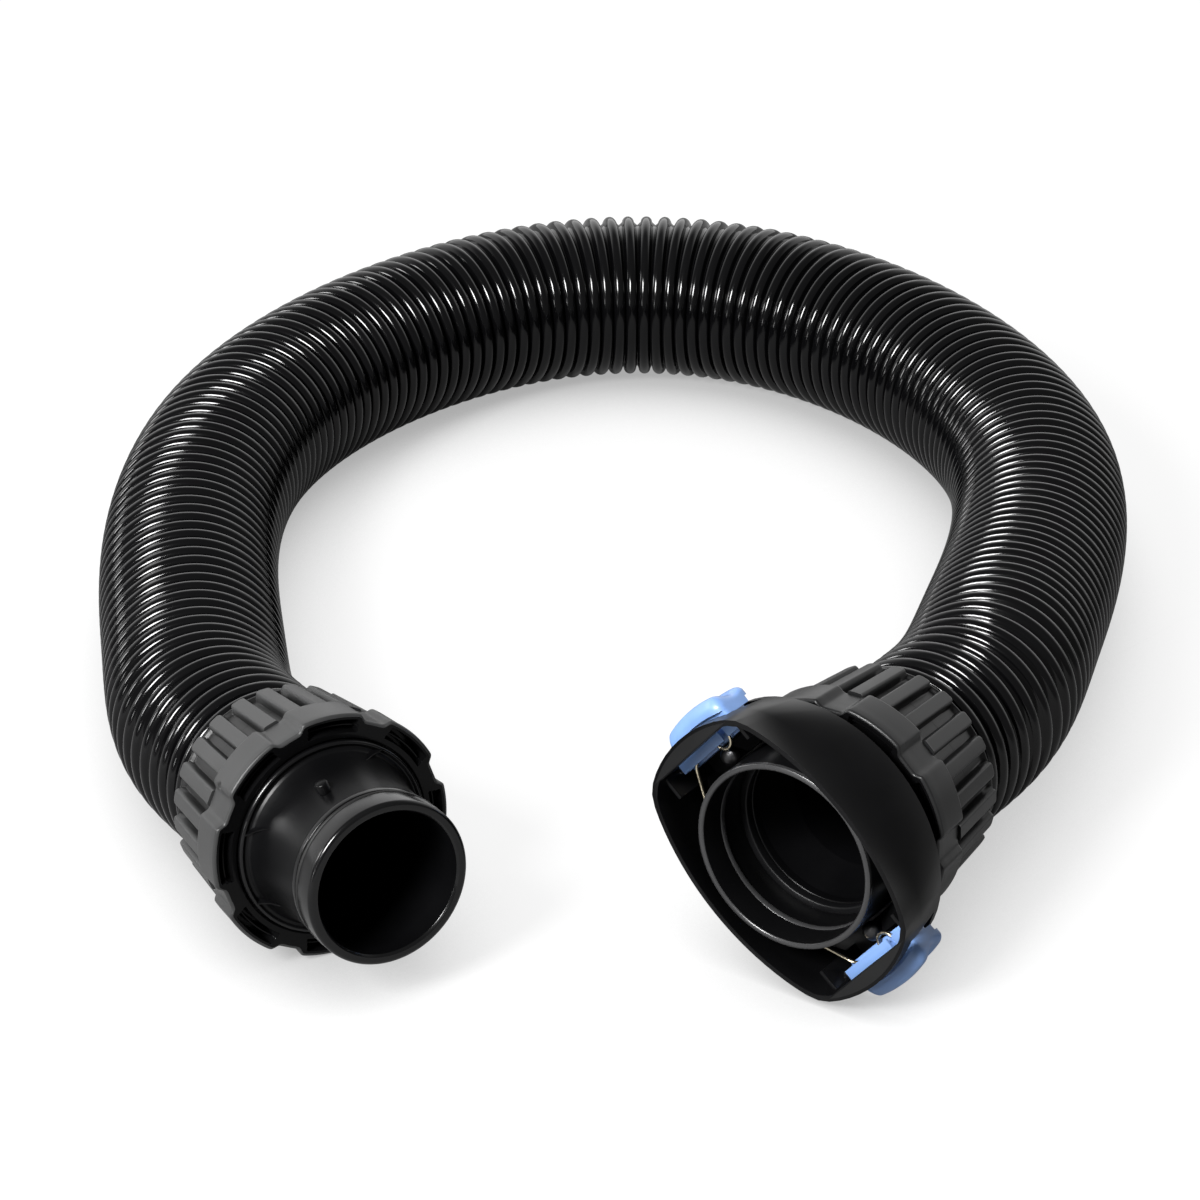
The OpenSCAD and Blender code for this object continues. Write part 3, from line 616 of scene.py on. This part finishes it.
def build_spigot():
    tip = SPIGOT_TIP
    outline = [(BORE_R, -2.4), (18.8, 5.6), (18.8, tip - 0.6), (19.4, tip)]
    for a in range(90, -1, -10):
        c, s = math.cos(math.radians(a)), math.sin(math.radians(a))
        outline.append((20.45 + NOSE_R * c, tip - NOSE_R + NOSE_R * s))
    outline += [(21.65, tip - 6.5), (20.3, tip - 6.5), (20.3, tip - 8.5), (21.3, tip - 8.5),
                (21.3, tip - 10), (NECK_R, tip - 10.5), (NECK_R, tip - 14)]
    # the hollow flare from the neck to the disc
    front = tip - 14
    for a in range(9, 91, 9):
        c, s = math.cos(math.radians(a)), math.sin(math.radians(a))
        outline.append((NECK_R + 3 * (1 - c), front + (0.35 - front) * s))
    outline += back_part()
    parts = [turned(fillet(outline, 0.3), 144)]
    # round lug on the neck
    turn = (Matrix.Rotation(math.radians(LUG_DEG), 4, "Z") @ Matrix.Translation(LUG_AT)
            @ Matrix.Rotation(math.radians(90), 4, "Y"))
    parts.append(turned(LUG, 32, turn))
    # thin fins from the disc's rim up to the neck
    for outer_r, outer_deg, inner_r, inner_deg in FINS:
        ends = [np.array([r * math.cos(math.radians(a)), r * math.sin(math.radians(a))])
                for r, a in ((outer_r, outer_deg), (inner_r, inner_deg))]
        side = (ends[1] - ends[0])[::-1] * (-1, 1)
        side *= FIN_HALF / np.linalg.norm(side)
        fin = [(*(ends[0] + f * (ends[1] - ends[0])), z) for f, z in FIN_PROFILE]
        points = [(x + k * side[0], y + k * side[1], z) for k in (-1, 1) for x, y, z in fin]
        n = len(fin)
        faces = [tuple(range(n - 1, -1, -1)), tuple(range(n, 2 * n))]
        faces += [(k, (k + 1) % n, n + (k + 1) % n, n + k) for k in range(n)]
        parts.append((points, faces))
    obj = joined("spigot_fitting", [(moved(p, SPIGOT), f) for p, f in parts])
    auto_smooth(outward(obj), 38)
    # the tip and the disc's rim are glossier than the rest
    local = moved(points_of(obj.data), SPIGOT.inverted())
    set_share(obj, "front", (local[:, 2] > 18) | (np.hypot(local[:, 0], local[:, 1]) > 24.2))
    return obj


spigot = build_spigot()
finish_piece(spigot, ROOT, adapter_black, replaces=["spigot_adapter"])
second_material(spigot, adapter_tip)


def build_socket_back():
    top = 3.0
    outline = [(BORE_R, top - 13), (21.3, 0.6), (21.3, top), (23.75, top), (23.75, 0.6)]
    obj = joined("socket_fitting", [turned(fillet(outline + back_part(), 0.45), 128, SOCKET)])
    auto_smooth(outward(obj), 38)
    return obj


socket_back = build_socket_back()
finish_piece(socket_back, ROOT, adapter_black, replaces=["socket_adapter"])

seal = joined("seal_ring", [turned(fillet(SEAL, 0.5, 4), 128, SOCKET)])
auto_smooth(outward(seal), 60)
finish_piece(seal, ROOT, seal_black, replaces=["socket_seal"])


# ---------------------------------------------------------------- softened copies of CAD pieces
MERGE_DISTANCE = 2e-6
FLAT_ANGLE = math.radians(0.4)
BEVEL_ANGLE = math.radians(32)


def softened(name, node, width):
    """A copy of a CAD piece with edges rounded by width, in mm."""
    mesh = nodes[node].data.copy()
    obj = bpy.data.objects.new(name, mesh)
    bpy.context.scene.collection.objects.link(obj)
    work = bmesh.new()
    work.from_mesh(mesh)
    bmesh.ops.remove_doubles(work, verts=work.verts, dist=MERGE_DISTANCE)
    bmesh.ops.dissolve_limit(work, angle_limit=FLAT_ANGLE, verts=work.verts, edges=work.edges)
    work.to_mesh(mesh)
    work.free()
    if "custom_normal" in mesh.attributes:
        mesh.attributes.remove(mesh.attributes["custom_normal"])
    cut = obj.modifiers.new("edges", "BEVEL")
    cut.width = width * MM
    cut.segments = 2
    cut.limit_method = "ANGLE"
    cut.angle_limit = BEVEL_ANGLE
    cut.use_clamp_overlap = True
    graph = bpy.context.evaluated_depsgraph_get()
    obj.data = bpy.data.meshes.new_from_object(obj.evaluated_get(graph))
    obj.modifiers.clear()
    auto_smooth(obj, 36)
    return obj


# end radius, half width and side radius of the shroud's outside at its mouth, 4 mm in and
# 18 mm in
WALL_FRONT = (38.2, 27.7, 68.5)
WALL_CHEEK = (37.82, 29.82, 62.2)
WALL_BACK = (36.5, 31.4, 40.0)
CHEEK_STEP, BACK_STEP = 4, 14
TURN_START, TURN_LENGTH = 0.5, 7.5
WALL_BLEND = 40.0
WALL_THICK = 1.6
# how near a point lies to the wall, and how well its face is lined up with it
WALL_NEAR, WALL_ALONG = 0.6, 0.93
STOP_SLOPE = 1.0
STOP_TOP, STOP_EDGE_X = -6, 29.62


def wall_radius(angle, s):
    """Outer radius of the shroud's wall, s mm behind its mouth."""
    sides = []
    for end_r, half_w, side_r in (WALL_FRONT, WALL_CHEEK, WALL_BACK):
        c, sine = side_r - half_w, np.abs(np.sin(angle))
        flank = -c * sine + np.sqrt(c * c * sine * sine + side_r * side_r - c * c)
        sides.append((end_r ** -WALL_BLEND + flank ** -WALL_BLEND) ** (-1 / WALL_BLEND))
    front, cheek, back = sides
    rise = (cheek - front) / CHEEK_STEP, (back - cheek) / BACK_STEP
    # the slope turns softly from the front's to the back's
    t = np.clip((s - TURN_START) / TURN_LENGTH, 0, 1)
    return (front + rise[1] * s
            + (rise[0] - rise[1]) * TURN_LENGTH * (t - t ** 3 + t ** 4 / 2))


def smooth_wall(obj):
    """Gives the wall's own normals to the faces that lie along it."""
    mesh = obj.data
    local = moved(points_of(mesh), SHROUD.inverted())
    x, y, s = local[:, 0], local[:, 1], -local[:, 2]

    def level(x, y, s):
        return np.hypot(x, y) - wall_radius(np.arctan2(y, x), s)

    h = 0.05
    grad = np.stack([
        level(x + h, y, s) - level(x - h, y, s), level(x, y + h, s) - level(x, y - h, s),
        level(x, y, s - h) - level(x, y, s + h)], -1)
    grad = grad @ np.array(SHROUD.to_3x3()).T
    grad /= np.linalg.norm(grad, axis=1)[:, None]
    corner = np.zeros(len(mesh.loops) * 3)
    mesh.corner_normals.foreach_get("vector", corner)
    corner = corner.reshape(-1, 3)
    near = level(x, y, s)
    for face in mesh.polygons:
        flat = np.array(face.normal)
        for loop in face.loop_indices:
            v = mesh.loops[loop].vertex_index
            out = grad[v]
            if abs(near[v]) < WALL_NEAR and flat @ out > WALL_ALONG:
                corner[loop] = out
            elif abs(near[v] + WALL_THICK) < WALL_NEAR and flat @ out < -WALL_ALONG:
                corner[loop] = -out
    mesh.normals_split_custom_set([tuple(c) for c in corner])


def slope_stops(obj):
    """Tilts the top of each stop block toward the tube."""
    back = SHROUD.inverted()
    for v in obj.data.vertices:
        x, y, z = back @ v.co
        inside = 25.0 < abs(x) < 29.9 and -11.3 < y < -3.7
        if inside and abs(z - STOP_TOP) < 0.35:
            v.co = SHROUD @ Vector((x, y, z - STOP_SLOPE * max(0.0, STOP_EDGE_X - abs(x))))


# outlines of the socket tube's lip and of the ridge in its bore
LIP = [(23.4, 21.2), (23.45, 21.9), (23.7, 22.25), (24.1, 22.38), (24.6, 22.35), (24.95, 22.1),
       (25.05, 21.7), (25.05, 21.2)]
RIDGE = [(23.6, 14.6), (23.4, 14.5), (23.15, 14.1), (23.02, 13.6), (23.08, 13.1), (23.3, 12.8),
         (23.6, 12.7)]
BRIDGE_X, BRIDGE_R = 33.7, 37.3
BRIDGE_BACK, BRIDGE_EDGE, BRIDGE_FRONT = -1.2, 2.5, 2.84


def bridge_lip(flip):
    """Front of the bridge that closes the shroud's end over the latch."""
    reach = math.acos(BRIDGE_X / BRIDGE_R)
    arc = [(BRIDGE_R * math.cos(a), BRIDGE_R * math.sin(a))
           for a in np.linspace(-reach, reach, 41)]
    arc[0], arc[-1] = (BRIDGE_X, arc[0][1]), (BRIDGE_X, arc[-1][1])
    n = len(arc)
    rings = [[(x, y, z) for x, y in arc] for z in (BRIDGE_BACK, BRIDGE_EDGE)]
    rings.append([(max(x, BRIDGE_X + 0.3), y, BRIDGE_FRONT) for x, y in arc])
    points = [(-x if flip else x, y, z) for ring in rings for x, y, z in ring]
    faces = grid_faces(3, n)
    faces += [tuple(range(n - 1, -1, -1)), tuple(range(2 * n, 3 * n))]
    return moved(points, SHROUD), faces


mouth_ring = joined("socket_mouth_ring", [turned(LIP, 160, SOCKET), turned(RIDGE, 160, SOCKET)])
bridges = joined("shroud_bridge_fronts", [bridge_lip(False), bridge_lip(True)])
for piece, material in ((mouth_ring, ring_painted_sheen), (bridges, lip_black)):
    auto_smooth(outward(piece), 40)
    finish_piece(piece, ROOT, material, replaces=["latch_housing"])

housing = softened("latch_housing_moulding", "latch_housing", 0.18)
slope_stops(housing)
smooth_wall(housing)
finish_piece(housing, ROOT, shroud_black, replaces=["latch_housing"])


# ---------------------------------------------------------------- latches
# distance behind the shroud's mouth, and height of the pad over its underside
PAD_KNOTS = [(3.5, 2.9), (6, 3.9), (11.5, 2), (14.5, 2.6), (16, 2.3)]
PAD_UNDER = 38.5
PAD_HALF = 11.25
PAD_CORNER = 3.6
EDGE_SIDE, EDGE_FRONT, EDGE_BACK = 2.6, 2.0, 1.1
STEM_CUT = 36.7
SKIRT = (4.8, 13.6)
SKIRT_R = 36.9


def pad_height(s):
    """Crown of the pad over its underside, s mm behind the shroud's mouth."""
    for (s0, h0), (s1, h1) in zip(PAD_KNOTS, PAD_KNOTS[1:]):
        if s <= s1:
            u = np.clip((s - s0) / (s1 - s0), 0, 1)
            return h0 + (1 - math.cos(math.pi * u)) / 2 * (h1 - h0)
    return PAD_KNOTS[-1][1]


def rounding(distance, radius):
    """Height share of a quarter-round edge, at a distance from it."""
    u = min(1.0, max(0.0, distance / radius))
    return math.sqrt(1 - (1 - u) ** 2)


def build_latch(name, node, body, flip):
    """Thumb pad with rounded edges over the CAD latch's web and bar."""
    front, back = PAD_KNOTS[0][0], PAD_KNOTS[-1][0]
    ys = PAD_HALF * np.sin(np.linspace(-math.pi / 2, math.pi / 2, 41))
    us = 0.5 - 0.5 * np.cos(np.linspace(0, math.pi, 37))
    rows = []
    for y in ys:
        into_corner = max(0.0, abs(y) - (PAD_HALF - PAD_CORNER)) / PAD_CORNER
        trim = PAD_CORNER * (1 - math.sqrt(max(0.0, 1 - into_corner ** 2)))
        s0, s1 = front + 0.7 * trim, back - 0.5 * trim
        side = rounding(PAD_HALF - abs(y), EDGE_SIDE)
        tops = []
        for u in us:
            s = s0 + u * (s1 - s0)
            edge = min(rounding(s - s0, EDGE_FRONT), rounding(s1 - s, EDGE_BACK))
            low = 0.25 + 0.3 * np.clip((s - 10) / 5, 0, 1)
            tops.append((PAD_UNDER + pad_height(s) * (low + (1 - low) * side * edge), s))
        # the underside drops into the window as a skirt
        k0, k1 = max(s0 + 0.2, SKIRT[0]), min(s1 - 0.2, SKIRT[1])
        under = [(PAD_UNDER, s1), (PAD_UNDER, k1 + 0.1), (SKIRT_R, k1), (SKIRT_R, k0),
                 (PAD_UNDER, k0 - 0.1), (PAD_UNDER, s0)]
        rows.append([(math.sqrt(max(r * r - y * y, 0)), y, -s) for r, s in tops + under])
    n = len(rows[0])
    faces = grid_faces(len(rows), n)
    faces.append(tuple(range(n - 1, -1, -1)))
    faces.append(tuple((len(rows) - 1) * n + k for k in range(n)))
    mirror = Matrix.Scale(-1, 4, (1, 0, 0)) if flip else Matrix.Identity(4)
    place = SHROUD @ mirror
    pad = joined(name + "_pad", [(moved(np.vstack(rows), place), faces)])
    outward(pad)
    auto_smooth(pad, 50)
    stem = softened(name + "_stem", node, 0.2)
    # the CAD pad is cut away from the copy, which keeps the web and the bar
    work = bmesh.new()
    work.from_mesh(stem.data)
    sign = -1 if flip else 1
    plane_co = SHROUD @ Vector((sign * STEM_CUT, 0, -9))
    plane_no = (SHROUD.to_3x3() @ Vector((sign, 0, 0))).normalized()
    geom = work.verts[:] + work.edges[:] + work.faces[:]
    bmesh.ops.bisect_plane(
        work, geom=geom, plane_co=plane_co, plane_no=plane_no, clear_outer=True)
    work.to_mesh(stem.data)
    work.free()
    for piece in (pad, stem):
        finish_piece(piece, body, latch_blue)
    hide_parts(node)


build_latch("upper_latch_piece", "upper_latch", "upper_latch", False)
build_latch("lower_latch_piece", "lower_latch", "lower_latch", True)


# ---------------------------------------------------------------- floor, world, lights
FLOOR_HALF = 30
FLOOR_GLOW = 0.9
# the floor is darker to the camera than to other rays, which keeps cast shadows faint
FLOOR_COLOUR = 0.28
SEEN_COLOUR = 0.14
CONTACT = 0.45
CONTACT_REACH = 0.16
CONTACT_SPAN = (0.15, 0.72)
FLOOR_SHEEN = 0.15
DIM = 0.10
WALL = 1.5
# directions between which the wall fades out upward and in toward the back
WALL_TOP = (0.4, 0.85)
WALL_EDGE = (-0.1, 0.7)
SKY_SHEEN = 0.1


def seen_share(tree, sheen):
    """1 for a camera ray, sheen for a ray off a glossy surface or through a clear one."""
    path = tree.nodes.new("ShaderNodeLightPath")
    sent = tree.nodes.new("ShaderNodeMath")
    sent.operation = "MAXIMUM"
    part = tree.nodes.new("ShaderNodeMath")
    part.operation = "MULTIPLY"
    part.inputs[1].default_value = sheen
    both = tree.nodes.new("ShaderNodeMath")
    both.operation = "MAXIMUM"
    tree.links.new(path.outputs["Is Glossy Ray"], sent.inputs[0])
    tree.links.new(path.outputs["Is Transmission Ray"], sent.inputs[1])
    tree.links.new(sent.outputs[0], part.inputs[0])
    tree.links.new(path.outputs["Is Camera Ray"], both.inputs[0])
    tree.links.new(part.outputs[0], both.inputs[1])
    return both.outputs[0]


floor_mesh = bpy.data.meshes.new("floor")
corners = [(x * FLOOR_HALF, y * FLOOR_HALF, 0) for x, y in ((-1, -1), (1, -1), (1, 1), (-1, 1))]
floor_mesh.from_pydata(corners, [], [(0, 1, 2, 3)])
floor = bpy.data.objects.new("floor", floor_mesh)
bpy.context.scene.collection.objects.link(floor)
floor_mat = bpy.data.materials.new("floor_white")
floor_mat.use_nodes = True
ft = floor_mat.node_tree
ft.nodes.clear()
f_out = ft.nodes.new("ShaderNodeOutputMaterial")
f_diffuse = ft.nodes.new("ShaderNodeBsdfDiffuse")
f_glow = ft.nodes.new("ShaderNodeEmission")
f_glow.inputs["Color"].default_value = (1, 1, 1, 1)
f_path = ft.nodes.new("ShaderNodeLightPath")
f_tone = ft.nodes.new("ShaderNodeMapRange")
f_tone.inputs["To Min"].default_value = FLOOR_COLOUR
f_tone.inputs["To Max"].default_value = SEEN_COLOUR
ft.links.new(f_path.outputs["Is Camera Ray"], f_tone.inputs["Value"])
ft.links.new(f_tone.outputs["Result"], f_diffuse.inputs["Color"])
# soft contact shadow
f_near = ft.nodes.new("ShaderNodeAmbientOcclusion")
f_near.samples = 12
f_near.inputs["Distance"].default_value = CONTACT_REACH
f_contact = ft.nodes.new("ShaderNodeMapRange")
f_contact.inputs["From Min"].default_value = CONTACT_SPAN[0]
f_contact.inputs["From Max"].default_value = CONTACT_SPAN[1]
f_contact.inputs["To Min"].default_value = CONTACT * FLOOR_GLOW
f_contact.inputs["To Max"].default_value = FLOOR_GLOW
ft.links.new(f_near.outputs["AO"], f_contact.inputs["Value"])
f_share = ft.nodes.new("ShaderNodeMath")
f_share.operation = "MULTIPLY"
ft.links.new(f_contact.outputs["Result"], f_share.inputs[1])
ft.links.new(seen_share(ft, FLOOR_SHEEN), f_share.inputs[0])
ft.links.new(f_share.outputs[0], f_glow.inputs["Strength"])
f_add = ft.nodes.new("ShaderNodeAddShader")
ft.links.new(f_diffuse.outputs[0], f_add.inputs[0])
ft.links.new(f_glow.outputs[0], f_add.inputs[1])
ft.links.new(f_add.outputs[0], f_out.inputs["Surface"])
floor_mesh.materials.append(floor_mat)

world = bpy.data.worlds.new("studio")
bpy.context.scene.world = world
world.use_nodes = True
wt = world.node_tree
wt.nodes.clear()
w_out = wt.nodes.new("ShaderNodeOutputWorld")
w_room = wt.nodes.new("ShaderNodeBackground")
w_white = wt.nodes.new("ShaderNodeBackground")
w_mix = wt.nodes.new("ShaderNodeMixShader")
w_place = wt.nodes.new("ShaderNodeTexCoord")
w_split = wt.nodes.new("ShaderNodeSeparateXYZ")
wt.links.new(w_place.outputs["Generated"], w_split.inputs["Vector"])


def graded(output, start, end, low, high):
    """Soft step from low to high along one part of the direction."""
    step = wt.nodes.new("ShaderNodeMapRange")
    step.interpolation_type = "SMOOTHSTEP"
    step.inputs["From Min"].default_value = start
    step.inputs["From Max"].default_value = end
    step.inputs["To Min"].default_value = low
    step.inputs["To Max"].default_value = high
    wt.links.new(w_split.outputs[output], step.inputs["Value"])
    return step.outputs["Result"]


# a white wall behind the object, dim walls and ceiling elsewhere
w_wall = wt.nodes.new("ShaderNodeMath")
w_wall.operation = "MULTIPLY_ADD"
w_wall.inputs[2].default_value = DIM
wt.links.new(graded("Z", *WALL_TOP, 1.0, 0.0), w_wall.inputs[0])
wt.links.new(graded("Y", *WALL_EDGE, 0.0, WALL - DIM), w_wall.inputs[1])
wt.links.new(w_wall.outputs[0], w_room.inputs["Strength"])
wt.links.new(seen_share(wt, SKY_SHEEN), w_mix.inputs["Fac"])
wt.links.new(w_room.outputs[0], w_mix.inputs[1])
wt.links.new(w_white.outputs[0], w_mix.inputs[2])
wt.links.new(w_mix.outputs[0], w_out.inputs["Surface"])
for background in (w_room, w_white):
    background.inputs["Color"].default_value = (1, 1, 1, 1)


def softbox(name, at, target, width, power):
    data = bpy.data.lights.new(name, "AREA")
    data.shape = "SQUARE"
    data.size = width
    data.energy = power
    lamp = bpy.data.objects.new(name, data)
    bpy.context.scene.collection.objects.link(lamp)
    lamp.location = at
    look_at(lamp, target)


softbox("key", (-0.779, -0.908, 1.005), (0, 0.13, 0.02), 0.45, 44)
softbox("left", (-1.84, 0.31, 0.57), (-0.1, 0.15, 0.02), 0.33, 7)
softbox("low", (-2.8, -2.6, 0.58), (0.05, 0.15, 0.02), 0.4, 8)
